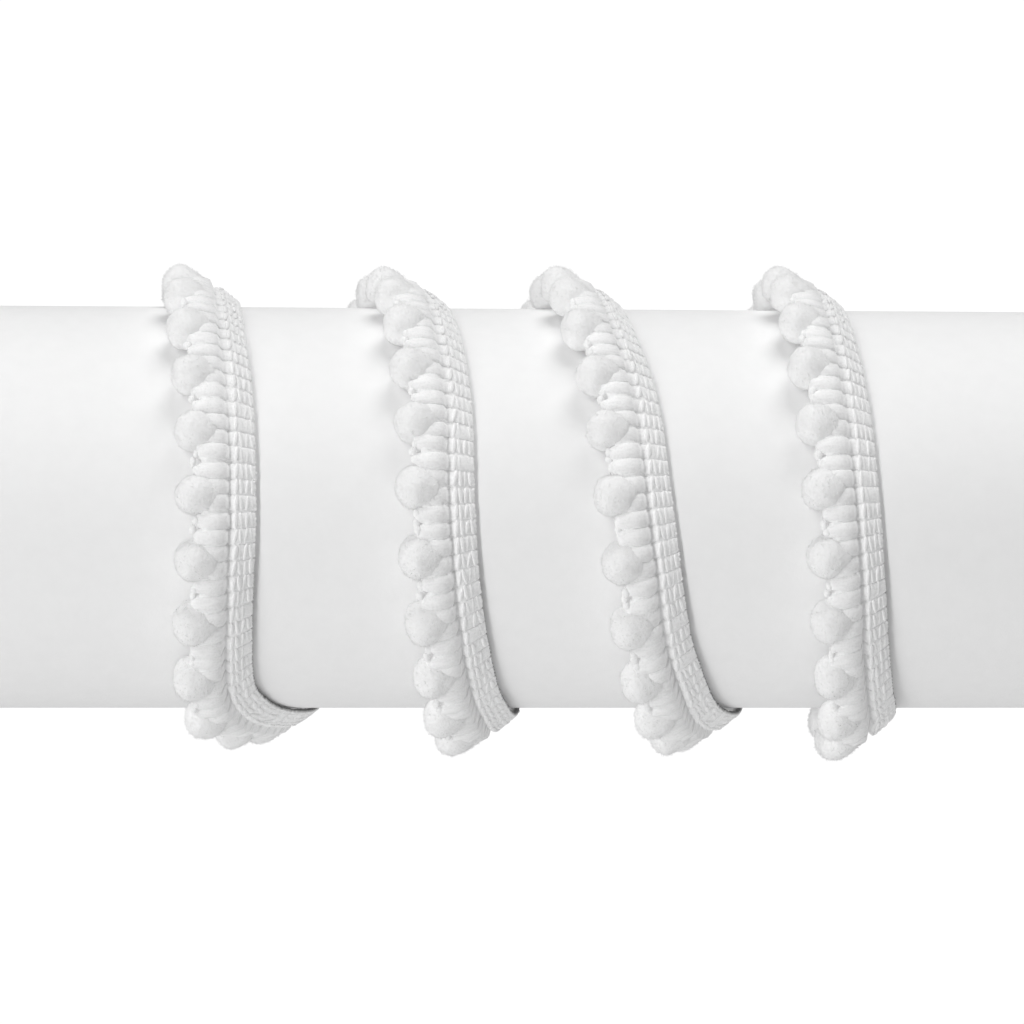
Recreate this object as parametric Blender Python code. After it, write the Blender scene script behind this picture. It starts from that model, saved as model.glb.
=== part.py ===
"""Pompom fringe trim wound in four loose turns round a plain tube.

Metres, +Z up. The tube's axis is the X axis and the origin is its middle. The front is -Y.
The trim starts and ends on the back of the tube. On its way it comes over the top, runs down
the front, passes underneath and climbs the back, a little further to the right each time.

A place on the trim has four numbers:
    turn    degrees wound since the first turn's top: 90 is the front, 180 the bottom, 270 the back
    along   millimetres along the trim from there
    across  millimetres from the plain edge towards the pompoms
    height  millimetres above the tube's surface
"""

import math
from bisect import bisect_right
from typing import NamedTuple

import bmesh
import bpy
from mathutils import Vector

MM = 0.001

# The tube
TUBE_LENGTH = 160.0
TUBE_RADIUS = 25.0
TUBE_WALL = 3.0
TUBE_SIDES = 72

# The trim
GAP = 0.35                # clear of the tube, and the braid clear of the pompoms
POMPOMS = 88
RIBS_PER_POMPOM = 4
ROWS_PER_POMPOM = 2 * RIBS_PER_POMPOM
LAY_RADIUS = TUBE_RADIUS + 2.5    # lengths along the trim are true at this radius
BEND_SPAN = 22.0          # the degrees of turn over which the braid takes up a bend of its edge
EDGE_SLACK = 0.3          # the plain edge hangs less than the pompoms: its share of their slack

# The braid
RIB_DEPTH = 0.55


class Corner(NamedTuple):
    """A corner of the braid's outline on a rib, and how far it moves between two ribs, in rib depths."""

    across: float
    height: float
    moves_across: float
    sinks: float


# From the plain edge, over the two puffed halves and the groove between them, to the loops
BRAID_CORNERS = (
    Corner(0.15, GAP, 0.0, 0.0),
    Corner(0.30, 1.55, 0.3, 0.6),
    Corner(2.50, 2.90, 0.0, 0.9),
    Corner(3.70, 2.75, 0.0, 0.4),
    Corner(4.85, 4.35, 0.0, 1.0),
    Corner(6.05, 2.80, -0.3, 0.0),
)

# A pompom, and the row of loops that it is caught in
POMPOM_ACROSS = 7.85      # its middle
POMPOM_WIDTH = 5.0
POMPOM_HEIGHT = 4.9
POMPOM_LENGTH = 5.8
POMPOM_SIDES = 7
ROOT_ACROSS = 6.72
ROOT_WIDTH = 0.64
ROOT_HEIGHT = 1.5
ROOT_LIFT = 3.3
# Where the rings of one pompom stand, as shares of half its length, with its loops at both ends
RING_SHARES = (-1.03, -0.92, -0.45, 0.45, 0.92, 1.03)

# The finishes
TUBE_WHITE = 0.88
BRAID_WHITE = 0.90
POMPOM_WHITE = 0.92


class Stop(NamedTuple):
    """A place that the plain edge passes: its x on the tube, and how far the pompoms hang clear of it."""

    turn: float
    edge_x: float
    slack: float


# One row for each bend of the route. A turn goes from its top at 0 to the next turn's top at 360.
ROUTES = (
    (
        Stop(-110, -34.5, 0.2), Stop(-45, -34.4, 0.1),
        Stop(0, -34.1, 0.1), Stop(30, -33.4, 0.0), Stop(60, -32.2, 0.0), Stop(90, -31.8, 0.2),
        Stop(125, -32.2, 0.4), Stop(146, -31.6, 0.6), Stop(157, -29.6, 0.3), Stop(168, -26.9, 0.0),
        Stop(182, -24.7, 0.0), Stop(205, -22.7, 0.1), Stop(270, -17.3, 0.3), Stop(325, -11.6, 0.0),
    ),
    (
        Stop(0, -8.9, 0.0), Stop(30, -7.3, 0.0), Stop(60, -6.1, 0.0), Stop(90, -5.8, 0.2),
        Stop(115, -4.8, 0.4), Stop(146, -2.4, 0.8), Stop(160, -0.5, 1.2), Stop(180, 0.9, 0.9),
        Stop(205, 2.4, 0.3), Stop(270, 7.0, 0.3), Stop(325, 10.9, 0.1),
    ),
    (
        Stop(0, 12.9, 0.3), Stop(30, 14.1, 0.1), Stop(60, 16.4, 0.0), Stop(90, 17.9, 0.2),
        Stop(125, 20.5, 0.5), Stop(146, 23.3, 0.9), Stop(160, 26.1, 1.0), Stop(180, 28.8, 0.7),
        Stop(205, 31.1, 0.4), Stop(270, 35.8, 0.3), Stop(325, 40.4, 0.2),
    ),
    (
        Stop(0, 41.0, 0.5), Stop(30, 41.2, 0.2), Stop(60, 41.9, 0.0), Stop(90, 42.8, 0.2),
        Stop(125, 44.5, 0.6), Stop(146, 46.1, 1.4), Stop(160, 47.4, 1.9), Stop(180, 48.2, 1.6),
        Stop(205, 48.6, 1.0), Stop(270, 48.8, 0.3), Stop(300, 48.9, 0.2),
    ),
)
STOPS = [
    Stop(360 * index + stop.turn, stop.edge_x, stop.slack)
    for index, route in enumerate(ROUTES)
    for stop in route
]

# The pompoms sit evenly along the trim: these two are 66 pompoms apart, down the front
FIRST_COUNTED, LAST_COUNTED = 87.0, 1164.0
POMPOMS_BETWEEN = 66
POMPOMS_BEFORE = 10


def between_stops(turn, column):
    """A column of the route at this turn, on a smooth curve through the stops."""
    at = min(max(bisect_right([stop.turn for stop in STOPS], turn) - 1, 1), len(STOPS) - 3)
    before, start, end, after = STOPS[at - 1 : at + 3]
    span = end.turn - start.turn
    low, value_start, value_end, high = (getattr(stop, column) for stop in STOPS[at - 1 : at + 3])
    slope_start = (value_end - low) / (end.turn - before.turn)
    slope_end = (high - value_start) / (after.turn - start.turn)
    share = (turn - start.turn) / span
    square, cube = share**2, share**3
    return (
        (2 * cube - 3 * square + 1) * value_start
        + (cube - 2 * square + share) * span * slope_start
        + (3 * square - 2 * cube) * value_end
        + (cube - square) * span * slope_end
    )


def drift(turn, span):
    """How far to the right the plain edge moves with each degree, over this span of turn."""
    after = between_stops(turn + span / 2, "edge_x")
    return (after - between_stops(turn - span / 2, "edge_x")) / span


def place(turn, across, height, along=0.0):
    """The point in space of a place on the trim."""
    lean = math.atan2(drift(turn, BEND_SPAN), math.radians(LAY_RADIUS))
    x = between_stops(turn, "edge_x") - across * math.cos(lean) + along * math.sin(lean)
    further = across * math.sin(lean) + along * math.cos(lean)
    angle = math.radians(turn) + further / LAY_RADIUS
    hangs = EDGE_SLACK + (1 - EDGE_SLACK) * across / POMPOM_ACROSS
    radius = TUBE_RADIUS + height + hangs * max(between_stops(turn, "slack"), 0.0)
    return Vector((x, -radius * math.sin(angle), radius * math.cos(angle))) * MM


def lengths_along(step=0.5):
    """The turns from the start of the route to its end, and the trim's length up to each."""
    first, last = STOPS[0].turn, STOPS[-1].turn
    turns = [first + step * count for count in range(round((last - first) / step) + 1)]
    lengths = [0.0]
    for turn in turns[1:]:
        step_length = step * math.hypot(drift(turn, step), math.radians(LAY_RADIUS))
        lengths.append(lengths[-1] + step_length)
    return turns, lengths


def interpolate(value, inputs, outputs):
    """The output at this value of the input, on straight lines between the rising inputs."""
    at = min(max(bisect_right(inputs, value) - 1, 0), len(inputs) - 2)
    share = (value - inputs[at]) / (inputs[at + 1] - inputs[at])
    return outputs[at] + share * (outputs[at + 1] - outputs[at])


ROUTE_TURNS, ROUTE_LENGTHS = lengths_along()
FIRST_LENGTH = interpolate(FIRST_COUNTED, ROUTE_TURNS, ROUTE_LENGTHS)
LAST_LENGTH = interpolate(LAST_COUNTED, ROUTE_TURNS, ROUTE_LENGTHS)
PITCH = (LAST_LENGTH - FIRST_LENGTH) / POMPOMS_BETWEEN
START_LENGTH = FIRST_LENGTH - (POMPOMS_BEFORE + 0.5) * PITCH


def turn_at(pompoms):
    """The turn at which this many pompoms, with their stretch of braid, have gone by."""
    return interpolate(START_LENGTH + pompoms * PITCH, ROUTE_LENGTHS, ROUTE_TURNS)


def loft(name, rings):
    """One closed object through rings of points, each ring the same way round, with flat ends."""
    shape = bmesh.new()
    loops = [[shape.verts.new(point) for point in ring] for ring in rings]
    count = len(loops[0])
    for one, two in zip(loops, loops[1:]):
        for side in range(count):
            after = (side + 1) % count
            shape.faces.new((one[side], one[after], two[after], two[side]))
    shape.faces.new(reversed(loops[0]))
    shape.faces.new(loops[-1])
    bmesh.ops.recalc_face_normals(shape, faces=shape.faces)
    return finish(name, shape)


def finish(name, shape):
    mesh = bpy.data.meshes.new(name)
    shape.to_mesh(mesh)
    shape.free()
    obj = bpy.data.objects.new(name, mesh)
    bpy.context.scene.collection.objects.link(obj)
    return obj


def paint(obj, name, white, roughness, crease):
    """A plain white finish of its own, and smooth shading but for edges sharper than the crease."""
    material = bpy.data.materials.new(name)
    material.use_nodes = True
    shader = material.node_tree.nodes["Principled BSDF"]
    shader.inputs["Base Color"].default_value = (white, white, white, 1.0)
    shader.inputs["Roughness"].default_value = roughness
    shader.inputs["Metallic"].default_value = 0.0
    obj.data.materials.append(material)
    obj.data.shade_smooth()
    obj.data.set_sharp_from_angle(angle=math.radians(crease))
    return obj


def make_tube():
    """A wall section spun round the X axis."""
    half = TUBE_LENGTH / 2
    inner = TUBE_RADIUS - TUBE_WALL
    corners = ((-half, inner), (half, inner), (half, TUBE_RADIUS), (-half, TUBE_RADIUS))
    shape = bmesh.new()
    wall = [shape.verts.new(Vector((x, 0.0, radius)) * MM) for x, radius in corners]
    section = [shape.edges.new((wall[i], wall[(i + 1) % 4])) for i in range(4)]
    bmesh.ops.spin(
        shape,
        geom=wall + section,
        cent=(0.0, 0.0, 0.0),
        axis=(1.0, 0.0, 0.0),
        angle=math.tau,
        steps=TUBE_SIDES,
        use_merge=True,
    )
    bmesh.ops.recalc_face_normals(shape, faces=shape.faces)
    return paint(finish("tube", shape), "tube_card", TUBE_WHITE, roughness=0.8, crease=40)


def braid_section(row):
    """The braid's outline at one row: (across, height) round it. Every second row is a rib's crest."""
    rows_from_pompom = (row % ROWS_PER_POMPOM) - ROWS_PER_POMPOM / 2
    along = rows_from_pompom * PITCH / ROWS_PER_POMPOM
    reach = 1 - (along / (POMPOM_LENGTH / 2 + GAP)) ** 2
    clear_of_pompom = POMPOM_ACROSS - (POMPOM_WIDTH / 2 + GAP) * math.sqrt(max(reach, 0.0))
    dip = 0.0 if row % 2 else RIB_DEPTH
    return [
        (
            min(corner.across, clear_of_pompom) + corner.moves_across * dip,
            corner.height - corner.sinks * dip,
        )
        for corner in BRAID_CORNERS
    ]


def make_braid():
    """One band from the first cut end to the last, ribbed across, with a groove along its middle."""
    rings = [
        [place(turn_at(row / ROWS_PER_POMPOM), *corner) for corner in braid_section(row)]
        for row in range(POMPOMS * ROWS_PER_POMPOM + 1)
    ]
    return paint(loft("braid", rings), "braid_yarn", BRAID_WHITE, roughness=0.9, crease=20)


def pompom_ring(turn, share):
    """A ring round a pompom, or round the loops beside it where share is past its ends."""
    along = share * POMPOM_LENGTH / 2
    if abs(share) > 1:
        across, lift, wide, high = ROOT_ACROSS, ROOT_LIFT, ROOT_WIDTH, ROOT_HEIGHT
    else:
        swell = math.sqrt(1 - share**2)
        across, lift = POMPOM_ACROSS, GAP + POMPOM_HEIGHT / 2
        wide, high = POMPOM_WIDTH * swell, POMPOM_HEIGHT * swell
    angles = [math.tau * (side + 0.5) / POMPOM_SIDES for side in range(POMPOM_SIDES)]
    return [
        place(turn, across + wide / 2 * math.cos(a), lift + high / 2 * math.sin(a), along)
        for a in angles
    ]


def make_pompoms():
    """All the pompoms on the one row of loops that roots them along the braid."""
    rings = [
        pompom_ring(turn_at(pompom + 0.5), share)
        for pompom in range(POMPOMS)
        for share in RING_SHARES
    ]
    return paint(loft("pompoms", rings), "pompom_yarn", POMPOM_WHITE, roughness=0.95, crease=75)


for old in list(bpy.data.objects):
    bpy.data.objects.remove(old, do_unlink=True)
make_tube()
make_braid()
make_pompoms()
print(f"trim length {POMPOMS * PITCH:.0f} mm, a pompom every {PITCH:.2f} mm")
print(f"from turn {turn_at(0):.0f} to {turn_at(POMPOMS):.0f} degrees")
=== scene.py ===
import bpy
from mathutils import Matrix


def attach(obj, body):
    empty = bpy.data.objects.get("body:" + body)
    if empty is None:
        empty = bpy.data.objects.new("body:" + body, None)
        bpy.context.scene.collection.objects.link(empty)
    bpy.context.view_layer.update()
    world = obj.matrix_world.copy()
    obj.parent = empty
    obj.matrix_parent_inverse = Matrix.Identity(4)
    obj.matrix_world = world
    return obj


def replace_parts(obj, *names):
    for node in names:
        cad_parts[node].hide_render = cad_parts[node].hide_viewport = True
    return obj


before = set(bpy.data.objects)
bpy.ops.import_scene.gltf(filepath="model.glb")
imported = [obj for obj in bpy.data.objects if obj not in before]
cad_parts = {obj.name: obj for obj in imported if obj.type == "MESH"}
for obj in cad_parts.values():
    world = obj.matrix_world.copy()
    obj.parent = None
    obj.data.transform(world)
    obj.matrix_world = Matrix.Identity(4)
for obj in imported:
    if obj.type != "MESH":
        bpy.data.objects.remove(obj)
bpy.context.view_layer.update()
print("solids:", sorted(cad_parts))

# %% [markdown]
# # Pompom fringe trim, wound round a tube
#
# The real thing is a narrow braid, about as wide as a pencil, that carries a row of small soft
# balls along one edge. Thick, loose yarn runs across it, back and forth. Fine chain stitches run
# along it and hold the yarn. Here it is wound in four loose turns round a white paper tube.
#
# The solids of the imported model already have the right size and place. This script gives each of
# them its real surface. All lengths are in millimetres until a shape is finished, because a
# stitch of half a millimetre is easier to think about than one of 0.0005 m.

# %% The modules and the unit
import math
import random
from typing import NamedTuple

import bmesh
import bpy
import numpy as np
from mathutils import Matrix, Vector, noise

MM = 0.001
scene = bpy.context.scene
scene.view_settings.view_transform = "Standard"

# %% [markdown]
# ## The camera
#
# The camera stands level with the tube, half a metre away and slightly to the left. A long lens
# keeps the tube's edges almost parallel. It is made first, so that every later step can be
# looked at through it.

# %% The camera
CAMERA_DISTANCE = 0.5
CAMERA_YAW = math.radians(-3.6)
CAMERA_ROLL = math.radians(0.18)
CAMERA_DROP = 0.00046
SENSOR = 36.0
FOCAL_PIXELS = 3985
PICTURE_PIXELS = 1024


def make_camera():
    """A level camera that looks at the middle of the tube."""
    data = bpy.data.cameras.new("camera")
    data.sensor_width = SENSOR
    data.lens = FOCAL_PIXELS * SENSOR / PICTURE_PIXELS
    data.clip_start = 0.01
    camera = bpy.data.objects.new("camera", data)
    scene.collection.objects.link(camera)
    stand = Vector((math.sin(CAMERA_YAW), -math.cos(CAMERA_YAW), 0)) * CAMERA_DISTANCE
    stand.z = -CAMERA_DROP
    turn = Matrix.Rotation(CAMERA_YAW, 4, "Z") @ Matrix.Rotation(math.radians(90), 4, "X")
    roll = Matrix.Rotation(CAMERA_ROLL, 4, "Z")
    camera.matrix_world = Matrix.Translation(stand) @ turn @ roll
    return camera


scene.camera = make_camera()
print(f"camera lens {scene.camera.data.lens:.1f} mm")

# %% [markdown]
# ## The way the trim winds
#
# A trim like this is crocheted flat and wound on the tube afterwards, and the script does the
# same. Each stitch is first made on a flat bench: X is the length along the trim, Y the distance
# from its plain edge towards the pompoms, and Z the height above the tube. One function then
# winds the finished piece round the tube.
#
# The route is a short table of bends. It follows the solids, only the bends low on the tube are a
# little sharper. `turn` is in degrees: 0 is the top of a turn, 90 the front, 180 the bottom and
# 270 the back. `edge_x` is where the plain edge passes, and `slack` how far the pompoms hang clear.

# %% The route
TUBE_LENGTH = 160.0
TUBE_RADIUS = 25.0
TUBE_WALL = 3.0
LAY_RADIUS = TUBE_RADIUS + 2.5
BEND_SPAN = 22.0
EDGE_SLACK = 0.4
POMPOM_ACROSS = 7.85
POMPOMS = 88
RIBS_PER_POMPOM = 4


class Stop(NamedTuple):
    """A place that the plain edge passes, in millimetres and degrees."""

    turn: float
    edge_x: float
    slack: float


ROUTES = (
    (
        Stop(-110, -34.5, 0.2), Stop(-45, -34.4, 0.1),
        Stop(0, -34.1, 0.1), Stop(30, -33.4, 0.0), Stop(60, -32.2, 0.0), Stop(90, -31.8, 0.2),
        Stop(125, -32.2, 0.4), Stop(146, -31.9, 0.6), Stop(157, -30.4, 0.3), Stop(168, -28.3, 0.0),
        Stop(182, -24.7, 0.0), Stop(205, -22.7, 0.1), Stop(270, -17.3, 0.3), Stop(325, -11.6, 0.0),
    ),
    (
        Stop(0, -8.9, 0.0), Stop(30, -7.3, 0.0), Stop(60, -6.1, 0.0), Stop(90, -5.8, 0.2),
        Stop(115, -4.8, 0.4), Stop(146, -2.4, 0.8), Stop(160, -0.8, 1.2), Stop(180, 0.9, 0.9),
        Stop(205, 2.4, 0.3), Stop(270, 7.0, 0.3), Stop(325, 10.9, 0.1),
    ),
    (
        Stop(0, 12.9, 0.3), Stop(30, 14.1, 0.1), Stop(60, 16.4, 0.0), Stop(90, 17.9, 0.2),
        Stop(125, 20.5, 0.5), Stop(146, 23.3, 0.9), Stop(160, 25.3, 1.0), Stop(180, 28.8, 0.7),
        Stop(205, 31.1, 0.4), Stop(270, 35.8, 0.3), Stop(325, 40.4, 0.2),
    ),
    (
        Stop(0, 41.0, 0.5), Stop(30, 41.2, 0.2), Stop(60, 41.9, 0.0), Stop(90, 42.8, 0.2),
        Stop(125, 44.5, 0.6), Stop(146, 46.1, 1.4), Stop(160, 47.4, 1.9), Stop(180, 48.2, 1.6),
        Stop(205, 48.6, 1.0), Stop(270, 48.8, 0.3), Stop(300, 48.9, 0.2),
    ),
)
STOPS = np.array([
    (360 * index + stop.turn, stop.edge_x, stop.slack)
    for index, route in enumerate(ROUTES)
    for stop in route
])
print(f"{len(STOPS)} bends on {len(ROUTES)} turns")


# %% A smooth curve through the bends
def between_stops(turns, column):
    """A column of the route at these turns, on a smooth curve through the stops."""
    at = np.clip(np.searchsorted(STOPS[:, 0], turns, side="right") - 1, 1, len(STOPS) - 3)
    turn, value = STOPS[:, 0], STOPS[:, column]
    span = turn[at + 1] - turn[at]
    slope_start = (value[at + 1] - value[at - 1]) / (turn[at + 1] - turn[at - 1])
    slope_end = (value[at + 2] - value[at]) / (turn[at + 2] - turn[at])
    share = (turns - turn[at]) / span
    square, cube = share**2, share**3
    return (
        (2 * cube - 3 * square + 1) * value[at]
        + (cube - 2 * square + share) * span * slope_start
        + (3 * square - 2 * cube) * value[at + 1]
        + (cube - square) * span * slope_end
    )


def drift(turns, span):
    """How far to the right the plain edge moves with each degree, over this span of turn."""
    after = between_stops(turns + span / 2, 1)
    return (after - between_stops(turns - span / 2, 1)) / span


TURN_STEP = 0.5
TURNS = np.arange(STOPS[0, 0], STOPS[-1, 0] + TURN_STEP / 2, TURN_STEP)
STEP_LENGTHS = TURN_STEP * np.hypot(drift(TURNS[1:], TURN_STEP), math.radians(LAY_RADIUS))
LENGTHS = np.concatenate([[0.0], np.cumsum(STEP_LENGTHS)])
EDGE = between_stops(TURNS, 1)
SLACK = np.maximum(between_stops(TURNS, 2), 0.0)
LEAN = np.arctan2(drift(TURNS, BEND_SPAN), math.radians(LAY_RADIUS))
print(f"the route is {LENGTHS[-1]:.0f} mm long")

# %% [markdown]
# ## Even spacing
#
# The pompoms sit evenly along the trim. Two that can be counted down the front, 66 pompoms
# apart, set the distance from one to the next, and everything else on the braid follows from it.

# %% The spacing
FIRST_COUNTED, LAST_COUNTED = 87.0, 1164.0
POMPOMS_BETWEEN = 66
POMPOMS_BEFORE = 10
FIRST_LENGTH, LAST_LENGTH = np.interp((FIRST_COUNTED, LAST_COUNTED), TURNS, LENGTHS)
PITCH = (LAST_LENGTH - FIRST_LENGTH) / POMPOMS_BETWEEN
START_LENGTH = FIRST_LENGTH - (POMPOMS_BEFORE + 0.5) * PITCH
RIB_PITCH = PITCH / RIBS_PER_POMPOM
RIBS = POMPOMS * RIBS_PER_POMPOM
TRIM_LENGTH = POMPOMS * PITCH
print(f"trim {TRIM_LENGTH:.0f} mm long, a pompom every {PITCH:.2f} mm, {RIBS} ribs")

# %% [markdown]
# ## Winding
#
# One function takes every flat piece to its place on the tube. The distance along the trim says
# where on the route a point lies, and the trim's lean there says which way is across. Where the
# trim hangs clear it folds a little along its middle.

# %% Winding a flat piece on the tube
FOLD_ACROSS, FOLD_WIDTH, FOLD_DEPTH = 3.4, 0.25, 1.6


def wind(points):
    """Rows of along, across and height on the bench in mm, wound round the tube in metres."""
    along, across, height = points.T
    length = START_LENGTH + along
    lean = np.interp(length, LENGTHS, LEAN)
    slack = np.interp(length, LENGTHS, SLACK)
    fold = FOLD_DEPTH * slack * np.exp(-((across - FOLD_ACROSS) / FOLD_WIDTH) ** 2)
    hangs = EDGE_SLACK + (1 - EDGE_SLACK) * across / POMPOM_ACROSS
    x = np.interp(length, LENGTHS, EDGE) - across * np.cos(lean)
    angle = np.radians(np.interp(length, LENGTHS, TURNS)) + across * np.sin(lean) / LAY_RADIUS
    radius = TUBE_RADIUS + height + hangs * slack - np.minimum(fold, height / 2)
    return np.stack([x, -radius * np.sin(angle), radius * np.cos(angle)], axis=1) * MM


def finish_piece(name, shape, material, wound=True):
    """The bmesh as a finished object. Its bench points stay on it as the attribute `bench`."""
    if wound:
        # Winding turns the bench into its mirror image, so the faces are turned round first.
        bmesh.ops.reverse_faces(shape, faces=shape.faces)
    mesh = bpy.data.meshes.new(name)
    shape.to_mesh(mesh)
    shape.free()
    points = np.empty(len(mesh.vertices) * 3, np.float32)
    mesh.vertices.foreach_get("co", points)
    if wound:
        mesh.attributes.new("bench", "FLOAT_VECTOR", "POINT").data.foreach_set("vector", points)
        placed = wind(points.reshape(-1, 3).astype(float))
        mesh.vertices.foreach_set("co", placed.astype(np.float32).ravel())
    mesh.materials.append(material)
    mesh.shade_smooth()
    piece = bpy.data.objects.new(name, mesh)
    scene.collection.objects.link(piece)
    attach(piece, "root")
    mesh.calc_loop_triangles()
    print(f"{name}: {len(mesh.loop_triangles)} triangles")
    return piece


# %% [markdown]
# ## Repeating one stitch
#
# The braid is a few small shapes, each of them made once and laid down hundreds of times. An
# Array modifier makes the copies, all in one spot and in order, which takes no time at all. Then
# each copy is moved to its own place on the bench. A little turn and stretch from a seeded random
# source keeps the copies from looking stamped.

# %% Laying copies of one shape
def lay_copies(shape, places):
    """A bmesh with a copy of the one shape at each of these places, given as matrices."""
    one = bpy.data.meshes.new("one")
    shape.to_mesh(one)
    shape.free()
    stamp = bpy.data.objects.new("stamp", one)
    scene.collection.objects.link(stamp)
    array = stamp.modifiers.new("copies", "ARRAY")
    array.count = len(places)
    array.use_relative_offset = False
    points = np.empty(len(one.vertices) * 3)
    one.vertices.foreach_get("co", points)
    points = np.c_[points.reshape(-1, 3), np.ones(len(one.vertices))]
    depsgraph = bpy.context.evaluated_depsgraph_get()
    many = bpy.data.meshes.new_from_object(stamp.evaluated_get(depsgraph))
    moved = np.einsum("pij,vj->pvi", np.array(places), points)[:, :, :3]
    many.vertices.foreach_set("co", moved.astype(np.float32).ravel())
    laid = bmesh.new()
    laid.from_mesh(many)
    bpy.data.objects.remove(stamp)
    return laid


def make_bead(size, sides, rings, lying=False):
    """A small ball drawn out to this size. Lying down, its poles point along the trim."""
    shape = bmesh.new()
    bmesh.ops.create_uvsphere(shape, u_segments=sides, v_segments=rings, radius=0.5)
    matrix = Matrix.Diagonal((*size, 1))
    if lying:
        matrix = matrix @ Matrix.Rotation(math.radians(90), 4, "Y")
    bmesh.ops.transform(shape, matrix=matrix, verts=shape.verts)
    return shape


def uneven(rng, place, tilt, stretch, shift=0.0):
    """The place, with a small random turn in degrees, stretch and shift."""
    turn = Matrix.Rotation(math.radians(rng.gauss(0, tilt)), 4, "Z")
    size = Matrix.Diagonal([1 + rng.gauss(0, stretch) for _ in range(3)] + [1])
    moved = Matrix.Translation([rng.gauss(0, shift) for _ in range(3)])
    return place @ moved @ turn @ size


# %% [markdown]
# ## Materials: what white yarn needs
#
# White yarn shows its structure only through small shadows, so its colour is almost plain and the
# work goes into the bump. Three effects are used by more than one material, and each is a node
# group. `fibre_streaks` makes the fine lines of fibres that lie along a yarn.
# `mottle_and_hollow_shade` makes the slow change of tone over a soft or papery surface, and paints
# shade into the hollows between fibres.
# `under_shade` darkens the yarn that hides under the plain edge, low on the tube, where hardly any
# light gets in.

# %% Helpers for node trees
def grey(value):
    """A grey of this brightness, as a shader colour."""
    return (value, value, value, 1.0)


def new_group(name, inputs, outputs):
    """A shader node group with these sockets: (name, type, default) in and (name, type) out."""
    group = bpy.data.node_groups.new(name, "ShaderNodeTree")
    for label, kind, default in inputs:
        socket = group.interface.new_socket(label, in_out="INPUT", socket_type=kind)
        socket.default_value = default
    for label, kind in outputs:
        group.interface.new_socket(label, in_out="OUTPUT", socket_type=kind)
    tree_in = group.nodes.new("NodeGroupInput")
    tree_out = group.nodes.new("NodeGroupOutput")
    return group, tree_in.outputs, tree_out.inputs


def add_node(tree, kind, links=None, **settings):
    """A new node with its settings, and its inputs linked to sockets or set to values."""
    node = tree.nodes.new(kind)
    for name, value in settings.items():
        setattr(node, name, value)
    for name, value in (links or {}).items():
        if isinstance(value, bpy.types.NodeSocket):
            tree.links.new(value, node.inputs[name])
        else:
            node.inputs[name].default_value = value
    return node


# %% Fibre streaks
VECTOR, FLOAT, COLOUR = "NodeSocketVector", "NodeSocketFloat", "NodeSocketColor"
COARSE_DETAIL, FINE_DETAIL = 3.0, 4.0


def make_fibre_streaks():
    """Fine uneven lines along one direction, as a height from 0 to 1."""
    group, given, wanted = new_group(
        "fibre_streaks",
        [
            ("Position", VECTOR, (0, 0, 0)),
            ("Stretch", VECTOR, (1, 1, 1)),
            ("Fineness", FLOAT, 6.0),
            ("Fluff", FLOAT, 0.4),
        ],
        [("Height", FLOAT)],
    )
    stretched = add_node(
        group, "ShaderNodeVectorMath", {0: given["Position"], 1: given["Stretch"]},
        operation="MULTIPLY",
    )
    lines = add_node(
        group, "ShaderNodeTexNoise",
        {
            "Vector": stretched.outputs[0],
            "Scale": given["Fineness"],
            "Detail": COARSE_DETAIL,
        },
    )
    fluff = add_node(
        group, "ShaderNodeTexNoise",
        {"Vector": given["Position"], "Scale": given["Fineness"], "Detail": FINE_DETAIL},
    )
    mixed = add_node(
        group, "ShaderNodeMix",
        {"Factor": given["Fluff"], "A": lines.outputs["Fac"], "B": fluff.outputs["Fac"]},
    )
    group.links.new(mixed.outputs["Result"], wanted["Height"])
    return group


FIBRE_STREAKS = make_fibre_streaks()
print("node group:", FIBRE_STREAKS.name)

# %% Mottle and painted hollow shade
PATCH_FROM, PATCH_TO = 0.3, 0.7
# Over this range of fibre height the painted shade in the hollows fades out.
HOLLOW_SHADE_FROM, HOLLOW_SHADE_TO = 0.36, 0.56


def make_mottle_and_hollow_shade():
    """Slow patches of a second colour on a base one, and painted shade in the fibres' hollows."""
    group, given, wanted = new_group(
        "mottle_and_hollow_shade",
        [
            ("Position", VECTOR, (0, 0, 0)),
            ("Patches", FLOAT, 0.5),
            ("Light", COLOUR, (0.9, 0.9, 0.9, 1)),
            ("Shade", COLOUR, (0.8, 0.8, 0.8, 1)),
            ("Height", FLOAT, 1.0),
            ("Hollow Shade", COLOUR, (0.7, 0.7, 0.7, 1)),
        ],
        [("Colour", COLOUR)],
    )
    patches = add_node(
        group, "ShaderNodeTexNoise",
        {"Vector": given["Position"], "Scale": given["Patches"], "Detail": COARSE_DETAIL},
    )
    spread = add_node(
        group, "ShaderNodeMapRange",
        {"Value": patches.outputs["Fac"], "From Min": PATCH_FROM, "From Max": PATCH_TO},
    )
    colour = add_node(
        group, "ShaderNodeMix",
        {"Factor": spread.outputs["Result"], 6: given["Light"], 7: given["Shade"]},
        data_type="RGBA",
    )
    # Painted shade: where the fibre streaks are low, the colour turns to the darker hollow grey.
    hollow_shade_mask = add_node(
        group, "ShaderNodeMapRange",
        {"Value": given["Height"], "From Min": HOLLOW_SHADE_FROM, "From Max": HOLLOW_SHADE_TO},
    )
    hollow_shaded = add_node(
        group, "ShaderNodeMix",
        {"Factor": hollow_shade_mask.outputs["Result"], 6: given["Hollow Shade"], 7: colour.outputs[2]},
        data_type="RGBA",
    )
    group.links.new(hollow_shaded.outputs[2], wanted["Colour"])
    return group


MOTTLE_AND_HOLLOW_SHADE = make_mottle_and_hollow_shade()
print("node group:", MOTTLE_AND_HOLLOW_SHADE.name)

# %% Under shade
DARK_BELOW, CLEAR_ABOVE = 0.3, 0.65
DARK_ACROSS, CLEAR_ACROSS = 0.7, 1.4
DARK_LEVEL, CLEAR_LEVEL = -11.0, -3.0
DARK_TONE = 0.2


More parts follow.
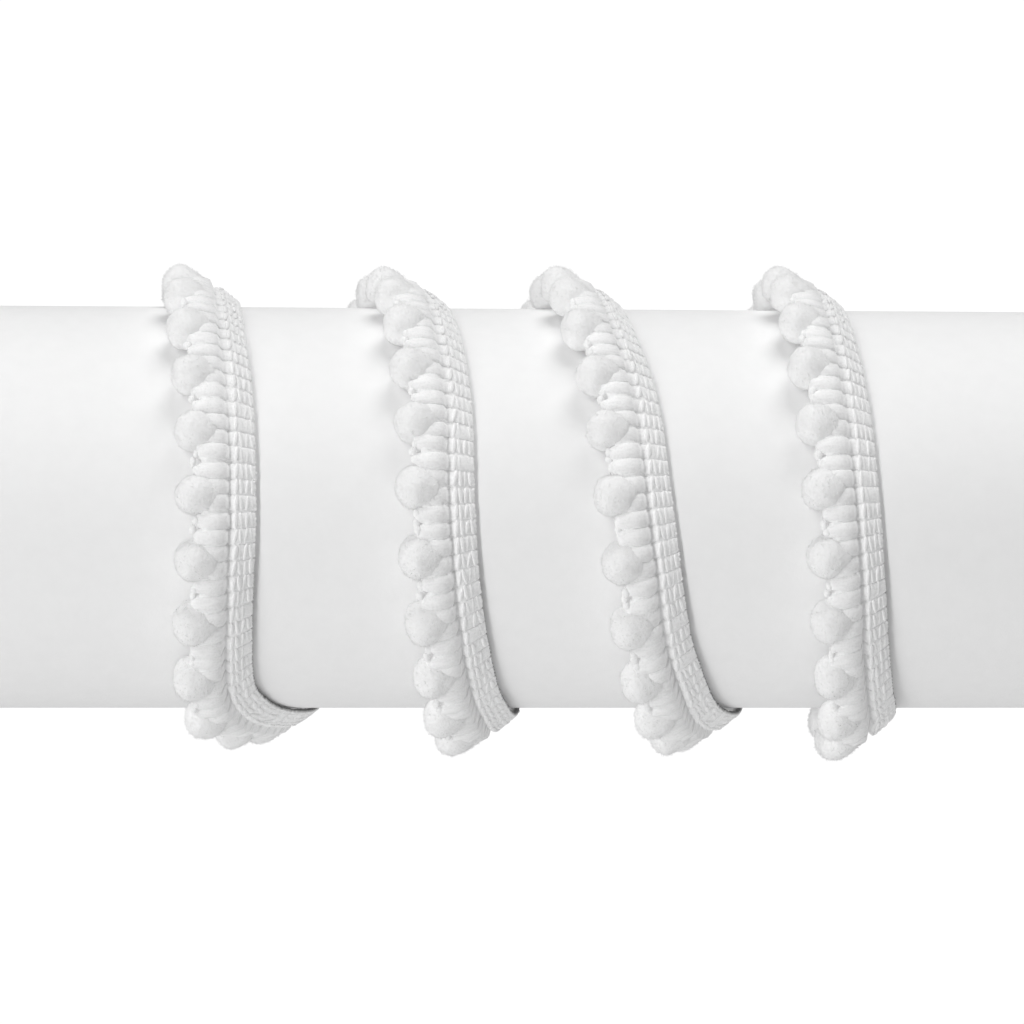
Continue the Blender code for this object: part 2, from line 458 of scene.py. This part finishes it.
def make_under_shade():
    """The yarn's colour and glow. Both go dark under the plain edge, low on the tube."""
    group, given, wanted = new_group(
        "under_shade",
        [
            ("Position", VECTOR, (0, 0, 0)),
            ("Level", FLOAT, 0.0),
            ("Colour", COLOUR, (0.8, 0.8, 0.8, 1)),
        ],
        [("Colour", COLOUR), ("Glow", COLOUR)],
    )
    place = add_node(group, "ShaderNodeSeparateXYZ", {"Vector": given["Position"]})
    height = add_node(
        group, "ShaderNodeMapRange",
        {"Value": place.outputs["Z"], "From Min": DARK_BELOW, "From Max": CLEAR_ABOVE},
    )
    across = add_node(
        group, "ShaderNodeMapRange",
        {"Value": place.outputs["Y"], "From Min": DARK_ACROSS, "From Max": CLEAR_ACROSS},
    )
    level = add_node(
        group, "ShaderNodeMapRange",
        {
            "Value": given["Level"],
            "From Min": DARK_LEVEL * MM,
            "From Max": CLEAR_LEVEL * MM,
        },
    )
    clear = add_node(
        group, "ShaderNodeMath",
        {0: height.outputs["Result"], 1: across.outputs["Result"]}, operation="MAXIMUM",
    )
    lit = add_node(
        group, "ShaderNodeMath", {0: clear.outputs[0], 1: level.outputs["Result"]},
        operation="MAXIMUM",
    )
    for output, dark, full in (
        ("Colour", grey(DARK_TONE), given["Colour"]), ("Glow", grey(0.0), grey(1.0)),
    ):
        shaded = add_node(
            group, "ShaderNodeMix", {"Factor": lit.outputs[0], 6: dark, 7: full},
            data_type="RGBA",
        )
        group.links.new(shaded.outputs[2], wanted[output])
    return group


UNDER_SHADE = make_under_shade()
print("node group:", UNDER_SHADE.name)


# %% One maker for all the yarns
def new_material(name, roughness, sheen=0.0):
    """An empty material: its tree and its Principled shader."""
    material = bpy.data.materials.new(name)
    material.use_nodes = True
    shader = material.node_tree.nodes["Principled BSDF"]
    shader.inputs["Roughness"].default_value = roughness
    shader.inputs["Metallic"].default_value = 0.0
    shader.inputs["Sheen Weight"].default_value = sheen
    shader.inputs["Sheen Roughness"].default_value = 0.5
    return material, shader


# White yarn lets light soak through from fibre to fibre. A faint glow of its own stands for that.
YARN_GLOW = 0.13
YARN_PATCHES = 0.35


class Yarn(NamedTuple):
    """A yarn's tones, the run of its fibres and how soft it is. Its relief is in millimetres."""

    name: str
    light: float
    shade: float
    # The grey of the painted shade in the hollows between fibres.
    hollow_shade: float
    stretch: tuple
    fineness: float
    fluff: float
    relief: float
    sheen: float


def make_yarn(yarn):
    """Matt yarn: fibres, a faint change of tone, and painted shade where no light gets in."""
    material, shader = new_material(yarn.name, roughness=0.9, sheen=yarn.sheen)
    tree = material.node_tree
    bench = add_node(tree, "ShaderNodeAttribute", attribute_name="bench")
    wound = add_node(tree, "ShaderNodeTexCoord")
    level = add_node(tree, "ShaderNodeSeparateXYZ", {"Vector": wound.outputs["Object"]})
    streaks = add_node(
        tree, "ShaderNodeGroup",
        {
            "Position": bench.outputs["Vector"],
            "Stretch": yarn.stretch,
            "Fineness": yarn.fineness,
            "Fluff": yarn.fluff,
        },
        node_tree=FIBRE_STREAKS,
    )
    # The tone group also paints shade into the hollows between fibres.
    tone = add_node(
        tree, "ShaderNodeGroup",
        {
            "Position": bench.outputs["Vector"],
            "Patches": YARN_PATCHES,
            "Light": grey(yarn.light),
            "Shade": grey(yarn.shade),
            "Height": streaks.outputs["Height"],
            "Hollow Shade": grey(yarn.hollow_shade),
        },
        node_tree=MOTTLE_AND_HOLLOW_SHADE,
    )
    under = add_node(
        tree, "ShaderNodeGroup",
        {
            "Position": bench.outputs["Vector"],
            "Level": level.outputs["Z"],
            "Colour": tone.outputs["Colour"],
        },
        node_tree=UNDER_SHADE,
    )
    bump = add_node(
        tree, "ShaderNodeBump",
        {"Height": streaks.outputs["Height"], "Distance": yarn.relief * MM, "Strength": 1.0},
    )
    tree.links.new(under.outputs["Colour"], shader.inputs["Base Color"])
    tree.links.new(under.outputs["Glow"], shader.inputs["Emission Color"])
    tree.links.new(bump.outputs["Normal"], shader.inputs["Normal"])
    shader.inputs["Emission Strength"].default_value = YARN_GLOW
    return material


RIB_YARN = make_yarn(Yarn(
    "rib_yarn", light=0.81, shade=0.79, hollow_shade=0.71, stretch=(1.0, 0.2, 1.0),
    fineness=4.0, fluff=0.5, relief=0.12, sheen=0.1,
))
CHAIN_THREAD = make_yarn(Yarn(
    "chain_thread", light=0.81, shade=0.79, hollow_shade=0.71, stretch=(0.5, 1.0, 1.0),
    fineness=5.0, fluff=0.5, relief=0.1, sheen=0.1,
))
POMPOM_YARN = make_yarn(Yarn(
    "pompom_yarn", light=0.78, shade=0.76, hollow_shade=0.74, stretch=(1.0, 1.0, 1.0),
    fineness=2.5, fluff=0.6, relief=0.1, sheen=0.3,
))
print("yarns:", RIB_YARN.name, CHAIN_THREAD.name, POMPOM_YARN.name)

# %% [markdown]
# ## The paper tube
#
# The tube is a wound card core with a smooth white paper outside. It is a section of the wall,
# turned round the X axis. The section's ends have a small step for each layer of card, because
# that is what a cut card tube shows.

# %% The paper's finish
PAPER_LIGHT, PAPER_SHADE = 0.89, 0.875
PAPER_PATCHES, PAPER_GRAIN = 500.0, 1500.0
GRAIN_RELIEF = 0.03


def make_paper():
    """Smooth matt white paper with a barely visible grain."""
    material, shader = new_material("white_paper", roughness=0.75)
    tree = material.node_tree
    place = add_node(tree, "ShaderNodeTexCoord")
    tone = add_node(
        tree, "ShaderNodeGroup",
        {
            "Position": place.outputs["Object"],
            "Patches": PAPER_PATCHES,
            "Light": grey(PAPER_LIGHT),
            "Shade": grey(PAPER_SHADE),
        },
        node_tree=MOTTLE_AND_HOLLOW_SHADE,
    )
    tree.links.new(tone.outputs["Colour"], shader.inputs["Base Color"])
    grain = add_node(
        tree, "ShaderNodeTexNoise",
        {"Vector": place.outputs["Object"], "Scale": PAPER_GRAIN, "Detail": FINE_DETAIL},
    )
    bump = add_node(
        tree, "ShaderNodeBump",
        {"Height": grain.outputs["Fac"], "Distance": GRAIN_RELIEF * MM, "Strength": 1.0},
    )
    tree.links.new(bump.outputs["Normal"], shader.inputs["Normal"])
    return material


# %% The tube turned
TUBE_STEPS = 240
CARD_LAYERS = 5
LAYER_STEP = 0.06
LAYER_FLAT_FROM, LAYER_FLAT_TO = 0.2, 0.8
SHARP_ANGLE = math.radians(30)


def make_tube():
    """The wall's section spun round the X axis."""
    inner = TUBE_RADIUS - TUBE_WALL
    layer = TUBE_WALL / CARD_LAYERS
    right = []
    for index in range(CARD_LAYERS):
        low = inner + index * layer
        right += [
            (TUBE_LENGTH / 2 - LAYER_STEP, low),
            (TUBE_LENGTH / 2, low + LAYER_FLAT_FROM * layer),
            (TUBE_LENGTH / 2, low + LAYER_FLAT_TO * layer),
        ]
    right.append((TUBE_LENGTH / 2 - LAYER_STEP, TUBE_RADIUS))
    outline = right + [(-x, radius) for x, radius in reversed(right)]
    shape = bmesh.new()
    wall = [shape.verts.new((x * MM, 0, radius * MM)) for x, radius in outline]
    section = [shape.edges.new((a, b)) for a, b in zip(wall, wall[1:] + wall[:1])]
    bmesh.ops.spin(
        shape,
        geom=wall + section,
        cent=(0, 0, 0),
        axis=(1, 0, 0),
        angle=math.tau,
        steps=TUBE_STEPS,
        use_merge=True,
    )
    bmesh.ops.recalc_face_normals(shape, faces=shape.faces)
    piece = finish_piece("paper_tube", shape, make_paper(), wound=False)
    piece.data.set_sharp_from_angle(angle=SHARP_ANGLE)
    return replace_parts(piece, "tube")


make_tube()

# %% [markdown]
# ## The ground of the braid
#
# Under the ribs the yarns are packed so tightly that no light comes through. A plain band fills
# that place. It is one grid, bent to the braid's section and given a thickness. It lies deeper
# under the soft half, where the ribs are rounder and the grooves between them darker.

# %% The braid's section
class Level(NamedTuple):
    """The height of the ribs' crests at one distance from the plain edge."""

    across: float
    height: float


CREST = (
    Level(0.1, 0.55), Level(0.6, 0.95), Level(1.5, 1.65), Level(2.4, 2.3), Level(3.0, 2.5),
    Level(3.35, 2.3), Level(3.75, 3.3), Level(4.6, 3.8), Level(6.4, 4.0), Level(7.4, 3.7),
)


def crest(across):
    """The height of the ribs' crests at this distance from the plain edge."""
    return float(np.interp(across, [level.across for level in CREST],
                           [level.height for level in CREST]))


GROUND_DROP_PLAIN, GROUND_DROP_SOFT = 0.2, 0.38
GROOVE_ACROSS = 3.4
GROUND_FROM, GROUND_TO = 0.35, 6.6
GROUND_THICKNESS = 0.9
GROUND_LOWEST = 0.3
GROUND_STEPS_PER_RIB, GROUND_STEPS_ACROSS = 2, 8


def make_ground():
    """A band under the ribs, closed all round."""
    shape = bmesh.new()
    bmesh.ops.create_grid(
        shape, x_segments=RIBS * GROUND_STEPS_PER_RIB, y_segments=GROUND_STEPS_ACROSS, size=0.5
    )
    middle = (GROUND_FROM + GROUND_TO) / 2
    stretch = Matrix.Diagonal((TRIM_LENGTH, GROUND_TO - GROUND_FROM, 1, 1))
    move = Matrix.Translation((TRIM_LENGTH / 2, middle, 0))
    bmesh.ops.transform(shape, matrix=move @ stretch, verts=shape.verts)
    for vert in shape.verts:
        drop = GROUND_DROP_PLAIN if vert.co.y < GROOVE_ACROSS else GROUND_DROP_SOFT
        vert.co.z = crest(vert.co.y) - drop
    bmesh.ops.solidify(shape, geom=shape.faces[:], thickness=GROUND_THICKNESS)
    for vert in shape.verts:
        vert.co.z = max(vert.co.z, GROUND_LOWEST)
    bmesh.ops.recalc_face_normals(shape, faces=shape.faces)
    return finish_piece("braid_ground", shape, RIB_YARN)


make_ground()

# %% [markdown]
# ## The ribs
#
# Each rib is one pass of a thick, loosely spun yarn. The yarns are pressed together, so a rib is
# flat on top with round shoulders, and only a thin groove parts it from the next. Beside the
# pompoms the yarn turns back in a thick bunch that reaches down to the tube. A short cylinder is
# drawn out along the section, its rings scaled to the yarn's thickness, and then copied 352 times.

# %% One rib
class Waist(NamedTuple):
    """How thick the rib's yarn is at one distance from the plain edge."""

    across: float
    half_length: float
    half_height: float


RIB = (
    Waist(0.25, 0.85, 0.20),
    Waist(0.60, 0.98, 0.35),
    Waist(2.00, 1.00, 0.42),
    Waist(3.05, 0.98, 0.42),
    Waist(3.40, 0.90, 0.38),
    Waist(3.85, 0.97, 0.50),
    Waist(5.50, 1.02, 0.60),
    Waist(6.90, 0.97, 1.60),
    Waist(7.35, 0.70, 1.40),
)
RIB_SIDES = 10
SQUARENESS = 0.65
RIB_SHIFT, RIB_TILT, RIB_STRETCH = 0.03, 1.2, 0.015


def make_one_rib():
    """A yarn across the braid: rings extruded one after the other and closed at both ends."""
    shape = bmesh.new()
    start = bmesh.ops.create_circle(shape, segments=RIB_SIDES, radius=1.0, cap_ends=True)["verts"]
    for vert in start:
        vert.co.x = math.copysign(abs(vert.co.x) ** SQUARENESS, vert.co.x)
        vert.co.y = math.copysign(abs(vert.co.y) ** SQUARENESS, vert.co.y)
    flat = Matrix.Rotation(math.radians(90), 4, "X")
    bmesh.ops.transform(shape, matrix=flat, verts=start)
    face = shape.faces[:][0]
    rings = [start]
    for _ in RIB[1:]:
        made = bmesh.ops.extrude_discrete_faces(shape, faces=[face])
        face = made["faces"][0]
        rings.append(list(face.verts))
    for ring, waist in zip(rings, RIB):
        size = Matrix.Diagonal((waist.half_length, 1, waist.half_height, 1))
        lift = crest(waist.across) - waist.half_height
        move = Matrix.Translation((0, waist.across, lift))
        bmesh.ops.transform(shape, matrix=move @ size, verts=ring)
    bmesh.ops.recalc_face_normals(shape, faces=shape.faces)
    return shape


def uneven_ribs():
    """Where the middle of each rib lies along the trim, a little off the even spacing."""
    rng = random.Random(2)
    return [(rib + 0.5) * RIB_PITCH + rng.gauss(0, RIB_SHIFT) for rib in range(RIBS)]


RIB_MIDDLES = uneven_ribs()


def make_ribs():
    """All the ribs, each a little different."""
    rng = random.Random(3)
    places = []
    for middle in RIB_MIDDLES:
        place = Matrix.Translation((middle, 0, rng.gauss(0, RIB_SHIFT)))
        places.append(uneven(rng, place, tilt=RIB_TILT, stretch=RIB_STRETCH))
    return finish_piece("ribs", lay_copies(make_one_rib(), places), RIB_YARN)


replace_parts(make_ribs(), "braid")

# %% [markdown]
# ## The chain stitches
#
# Two chains of a finer thread run along the plain half of the braid. From above a chain is two
# rows of slanted dashes that meet in a V over each rib. A dash is a small ball drawn out long and
# sunk deep into the rib, so one shape serves all four rows.

# %% The chains
class Row(NamedTuple):
    """A row of dashes: its distance from the plain edge and the slant of its dashes in degrees."""

    across: float
    slant: float


CHAIN_ROWS = (Row(2.5, 7.0), Row(1.9, -7.0), Row(1.25, 7.0), Row(0.65, -7.0))
ROW_REACH = 0.5
ROW_DRIFT, DRIFT_PACE = 0.2, 0.02
DASH_SIZE = (1.9, 0.65, 0.3)
DASH_RISE = -0.09
DASH_TILT, DASH_STRETCH, DASH_SHIFT = 4.0, 0.07, 0.03


def make_chains():
    """Four rows of dashes, one over each rib."""
    rng = random.Random(5)
    places = []
    for row in CHAIN_ROWS:
        rise = crest(row.across + ROW_REACH) - crest(row.across - ROW_REACH)
        tilt = Matrix.Rotation(math.atan(rise / (2 * ROW_REACH)), 4, "X")
        slant = Matrix.Rotation(math.radians(row.slant), 4, "Z")
        for middle in RIB_MIDDLES:
            across = row.across + ROW_DRIFT * noise.noise((middle * DRIFT_PACE, 0.5, 0.5))
            centre = Matrix.Translation((middle, across, crest(across) + DASH_RISE))
            place = centre @ tilt @ slant
            places.append(uneven(rng, place, DASH_TILT, DASH_STRETCH, DASH_SHIFT))
    dash = make_bead(DASH_SIZE, sides=6, rings=6, lying=True)
    return finish_piece("chain_stitches", lay_copies(dash, places), CHAIN_THREAD)


make_chains()

# %% [markdown]
# ## The plain edge
#
# Along the plain edge the threads turn back round the last rib in small tight knots, three to a
# rib. They give the edge its knobbly line.

# %% The edge knots
KNOTS_PER_RIB = 3
KNOT_SIZE = (0.72, 0.5, 0.6)
KNOT_ACROSS, KNOT_HEIGHT = 0.4, 0.42
KNOT_TILT, KNOT_STRETCH, KNOT_SHIFT = 12.0, 0.1, 0.03


def make_edge_knots():
    """The knots, evenly along the whole plain edge."""
    rng = random.Random(6)
    step = RIB_PITCH / KNOTS_PER_RIB
    places = []
    for index in range(RIBS * KNOTS_PER_RIB):
        centre = Matrix.Translation(((index + 0.5) * step, KNOT_ACROSS, KNOT_HEIGHT))
        places.append(uneven(rng, centre, KNOT_TILT, KNOT_STRETCH, KNOT_SHIFT))
    knot = make_bead(KNOT_SIZE, sides=6, rings=4)
    return finish_piece("edge_knots", lay_copies(knot, places), CHAIN_THREAD)


make_edge_knots()

# %% [markdown]
# ## The edge loops
#
# Between two pompoms the rib yarn turns back in small fat loops. Their eyes are closed by the soft
# yarn, so each is a small ball. Three of them stand in a column in every gap.

# %% The edge loops
LOOP_SIZE = (1.15, 0.95, 0.9)
LOOP_ACROSS, LOOP_HEIGHT = 7.25, 3.3
LOOPS_PER_GAP, LOOP_SPACING = 3, 0.85
LOOP_BOW = 0.25
LOOP_TILT, LOOP_STRETCH, LOOP_SHIFT = 12.0, 0.1, 0.08


def make_edge_loops():
    """A short column of loops in every gap between pompoms, the middle one bowed out a little."""
    rng = random.Random(7)
    first, last = LOOP_SIZE[0] / 2, TRIM_LENGTH - LOOP_SIZE[0] / 2
    places = []
    for gap in range(POMPOMS + 1):
        for index in range(LOOPS_PER_GAP):
            offset = (index - (LOOPS_PER_GAP - 1) / 2) * LOOP_SPACING
            along = min(max(gap * PITCH + offset, first), last)
            bow = LOOP_BOW if index == LOOPS_PER_GAP // 2 else 0.0
            centre = Matrix.Translation((along, LOOP_ACROSS + bow, LOOP_HEIGHT))
            places.append(uneven(rng, centre, LOOP_TILT, LOOP_STRETCH, LOOP_SHIFT))
    loop = make_bead(LOOP_SIZE, sides=8, rings=6)
    return finish_piece("edge_loops", lay_copies(loop, places), CHAIN_THREAD)


make_edge_loops()

# %% [markdown]
# ## The pompoms
#
# A pompom is a bunch of yarn, cut short and brushed out until it is a soft ball. It starts as an
# icosphere. Its lower half is spread, because it is pressed on the tube, and slow noise takes away
# the perfect roundness. Then a short pointed fibre stands on every face. The balls are made one
# turn of the trim at a time, so that no piece gets too heavy.

# %% One ball
POMPOM_HALF = (2.35, 2.25, 2.35)
POMPOM_MIDDLE, POMPOM_LIFT = 7.45, 2.75
POMPOM_DETAIL = 4
POMPOM_LOWEST = 0.1
FOOT_SQUARENESS, FOOT_SPREAD, FOOT_QUICKNESS = 3.0, 0.1, 2.0
ROUND_POWER, SLOPE_POWER, SLOPE_REACH = 2.0, 1.5, 1.4
TINY = 1e-6


class Lumps(NamedTuple):
    """Slow noise on a ball: how far it goes out and in, and how close its lumps are."""

    size: float
    closeness: float


LUMPS = (Lumps(0.16, 0.6), Lumps(0.06, 1.6))


def press_ball(place):
    """A point of the unit ball, moved to where it lies in a pompom of the trim."""
    flat = math.hypot(place.x, place.y)
    if place.z < 0:
        # Pressed on the tube: steep sides and a flat foot that reaches the next pompom's.
        grown = max(flat, TINY) ** (ROUND_POWER / FOOT_SQUARENESS) / max(flat, TINY)
        depth = (-place.z) ** (ROUND_POWER / FOOT_SQUARENESS)
        spread = 1 + FOOT_SPREAD * min(1, FOOT_QUICKNESS * depth)
        return Vector((place.x * grown * spread, place.y * grown, -depth))
    if place.y < 0 < flat:
        # Towards the braid the ball slopes gently down on to the ribs.
        toward = -place.y / flat
        power = ROUND_POWER - (ROUND_POWER - SLOPE_POWER) * toward
        height = max(0.0, 1 - flat**power) ** (1 / power)
        return Vector((place.x, place.y * SLOPE_REACH, height))
    return place.copy()


def add_pompom(shape, centre):
    """One ball at this place on the bench."""
    made = bmesh.ops.create_icosphere(shape, subdivisions=POMPOM_DETAIL, radius=1.0)
    for vert in made["verts"]:
        vert.co = press_ball(vert.co)
    size = Matrix.Translation(centre) @ Matrix.Diagonal((*POMPOM_HALF, 1))
    bmesh.ops.transform(shape, matrix=size, verts=made["verts"])
    for vert in made["verts"]:
        out = (vert.co - centre).normalized()
        vert.co += out * sum(
            lumps.size * noise.noise(vert.co * lumps.closeness) for lumps in LUMPS
        )
        vert.co.z = max(vert.co.z, POMPOM_LOWEST)


# %% The fibres of the pile
FIBRE_LENGTH, FIBRE_THICKNESS = 0.65, 0.09
FIBRE_SHORTEST, FIBRE_LONGEST = 0.6, 1.2
FIBRE_ROOT = 0.3
FIBRE_LEAN = 0.7
FIBRE_LOWEST = 0.05
FOOT_FACING = -0.5
WELD = 0.001


def fibre_places(shape, rng):
    """A place on every face but the foot's, pointing outwards and leaning to one side."""
    shape.normal_update()
    places = []
    for face in shape.faces:
        if face.normal.z < FOOT_FACING:
            continue
        lean = Vector([rng.gauss(0, FIBRE_LEAN) for _ in range(3)])
        out = (face.normal + lean).normalized()
        root = face.calc_center_median() - out * FIBRE_ROOT
        long = FIBRE_LENGTH * rng.uniform(FIBRE_SHORTEST, FIBRE_LONGEST)
        turn = out.to_track_quat("Z", "Y").to_matrix().to_4x4()
        places.append(Matrix.Translation(root) @ turn @ Matrix.Diagonal((1, 1, long, 1)))
    return places


def make_fibre():
    """A closed point with three sides, one long."""
    shape = bmesh.new()
    bmesh.ops.create_cone(
        shape, cap_ends=True, segments=3, radius1=FIBRE_THICKNESS / 2, radius2=0, depth=1,
        matrix=Matrix.Translation((0, 0, 0.5)),
    )
    bmesh.ops.remove_doubles(shape, verts=shape.verts, dist=WELD)
    return shape


# %% All the pompoms
POMPOMS_PER_PIECE = 22


def make_pompoms():
    """All the pompoms, 22 to a piece."""
    rng = random.Random(11)
    pieces = []
    for start in range(0, POMPOMS, POMPOMS_PER_PIECE):
        shape = bmesh.new()
        for pompom in range(start, start + POMPOMS_PER_PIECE):
            centre = ((pompom + 0.5) * PITCH, POMPOM_MIDDLE, POMPOM_LIFT)
            add_pompom(shape, Vector(centre))
        fibres = lay_copies(make_fibre(), fibre_places(shape, rng))
        for vert in fibres.verts:
            vert.co.z = max(vert.co.z, FIBRE_LOWEST)
        turn = start // POMPOMS_PER_PIECE + 1
        pieces.append(finish_piece(f"pompoms_{turn}", shape, POMPOM_YARN))
        pieces.append(finish_piece(f"pompom_pile_{turn}", fibres, POMPOM_YARN))
    return pieces


for pompoms in make_pompoms():
    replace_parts(pompoms, "pompoms")

# %% [markdown]
# ## Floor and light
#
# White on white needs light from all round, or the trim turns grey. A round light above, a little
# to the right, makes the tube's upper part the brightest and lays soft shadows under the pompoms.
# A tall, narrow one to the left of the camera draws the thin shadow along the plain edge. The room
# and the floor fill the rest: the floor glows, and that keeps the tube's underside from going dark.

# %% The floor and the room
FLOOR_DROP, FLOOR_SIZE = 0.6, 6.0
FLOOR_TONE, FLOOR_GLOW = 0.9, 0.19
ROOM_FILL, ROOM_SEEN = 0.21, 1.05


def make_floor():
    """A plain pale floor. The camera sees it white, and it gives the object a softer light."""
    shape = bmesh.new()
    bmesh.ops.create_grid(shape, x_segments=1, y_segments=1, size=FLOOR_SIZE / 2)
    bmesh.ops.translate(shape, vec=(0, 0, -FLOOR_DROP), verts=shape.verts)
    mesh = bpy.data.meshes.new("floor")
    shape.to_mesh(mesh)
    shape.free()
    floor = bpy.data.objects.new("floor", mesh)
    scene.collection.objects.link(floor)
    material, shader = new_material("pale_floor", roughness=0.9)
    tree = material.node_tree
    shader.inputs["Base Color"].default_value = grey(FLOOR_TONE)
    shader.inputs["Emission Strength"].default_value = 1.0
    path = add_node(tree, "ShaderNodeLightPath")
    glow = add_node(
        tree, "ShaderNodeMix",
        {"Factor": path.outputs["Is Camera Ray"], 6: grey(FLOOR_GLOW), 7: grey(1.0)},
        data_type="RGBA",
    )
    tree.links.new(glow.outputs[2], shader.inputs["Emission Color"])
    mesh.materials.append(material)
    return floor


def make_room():
    """A white room: the camera sees plain white, and the object gets an even, weaker light."""
    world = bpy.data.worlds.new("white_room")
    world.use_nodes = True
    tree = world.node_tree
    background = tree.nodes["Background"]
    background.inputs["Color"].default_value = grey(1.0)
    path = add_node(tree, "ShaderNodeLightPath")
    strength = add_node(
        tree, "ShaderNodeMapRange",
        {"Value": path.outputs["Is Camera Ray"], "To Min": ROOM_FILL, "To Max": ROOM_SEEN},
    )
    tree.links.new(strength.outputs["Result"], background.inputs["Strength"])
    scene.world = world
    return world


floor = make_floor()
room = make_room()
print("stage:", floor.name, room.name)

# %% The two lights
class Lamp(NamedTuple):
    """A light: where it stands, what it points at, its size in metres and its power in watts."""

    name: str
    shape: str
    place: tuple
    aim: tuple
    width: float
    height: float
    power: float


LAMPS = (
    Lamp(
        "top_light", "DISK", place=(0.3, -0.12, 1.1), aim=(0, 0, 0),
        width=0.8, height=0.8, power=8.0,
    ),
    Lamp(
        "left_light", "RECTANGLE", place=(-0.68, -0.87, 0.35), aim=(0, 0, 0.35),
        width=0.15, height=1.8, power=9.6,
    ),
)


def make_light(lamp):
    """An area light that looks from its place to its aim."""
    data = bpy.data.lights.new(lamp.name, "AREA")
    data.shape = lamp.shape
    data.size, data.size_y = lamp.width, lamp.height
    data.energy = lamp.power
    light = bpy.data.objects.new(lamp.name, data)
    light.location = lamp.place
    sight = Vector(lamp.aim) - Vector(lamp.place)
    light.rotation_euler = sight.to_track_quat("-Z", "Y").to_euler()
    scene.collection.objects.link(light)
    return light


for lamp in LAMPS:
    print("light:", make_light(lamp).name)
